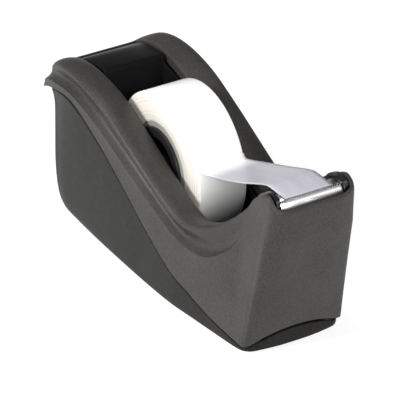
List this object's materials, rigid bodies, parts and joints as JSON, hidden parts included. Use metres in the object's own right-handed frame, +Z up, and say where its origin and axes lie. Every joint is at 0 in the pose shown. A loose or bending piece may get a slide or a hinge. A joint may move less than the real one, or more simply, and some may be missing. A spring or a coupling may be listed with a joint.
{
  "type": "tape dispenser",
  "caption": "Desktop tape dispenser: curved two-part plastic body with a weighted base, an open black well holding a lift-out roll of tape, and a toothed steel cutter in its nose.",
  "frame": {"origin": "on the ground, on the underside of the foot pad, under the middle of the body's length and width", "axes": "+X towards the cutter, +Y across the width along the roll's axle, +Z up"},
  "size_m": [0.1503, 0.0506, 0.0655],
  "materials": {
    "shell_plastic": "fine-grained charcoal",
    "base_plastic": "fine-grained dark charcoal",
    "black_plastic": "semi-gloss black",
    "hub_plastic": "satin black",
    "weight_iron": "as cast",
    "plate_plastic": "plain black",
    "pad_foam": "closed-cell foam rubber",
    "steel": "bright rolled strip",
    "core_plastic": "pale grey-green",
    "tape_wound": "cream white wound film",
    "tape_film": "frosted clear film"
  },
  "bodies": {
    "dispenser": {"upper_shell": "shell_plastic", "base_shell": "base_plastic", "base_plate": "plate_plastic", "foot_pad": "pad_foam", "screw_rear_left": "steel", "screw_rear_right": "steel", "screw_front_left": "steel", "screw_front_right": "steel", "rear_weight": "weight_iron", "front_weight": "weight_iron", "tape_well": "black_plastic", "cutter_head": "black_plastic", "cutter_blade": "steel"},
    "spindle": {"hub_axle": "steel", "tape_tongue": "tape_film"},
    "roll": {"hub_left": "hub_plastic", "hub_right": "hub_plastic", "tape_core": "core_plastic", "tape_roll": "tape_wound"}
  },
  "joints": [
    {"name": "roll_lift", "type": "slide", "parent": "dispenser", "child": "spindle", "axis": [0, 0, 1], "range_m": [0, 0.065]},
    {"name": "roll_spin", "type": "hinge", "parent": "spindle", "child": "roll", "pos_m": [-0.0107, 0, 0.0363], "axis": [0, 1, 0], "continuous": true}
  ]
}
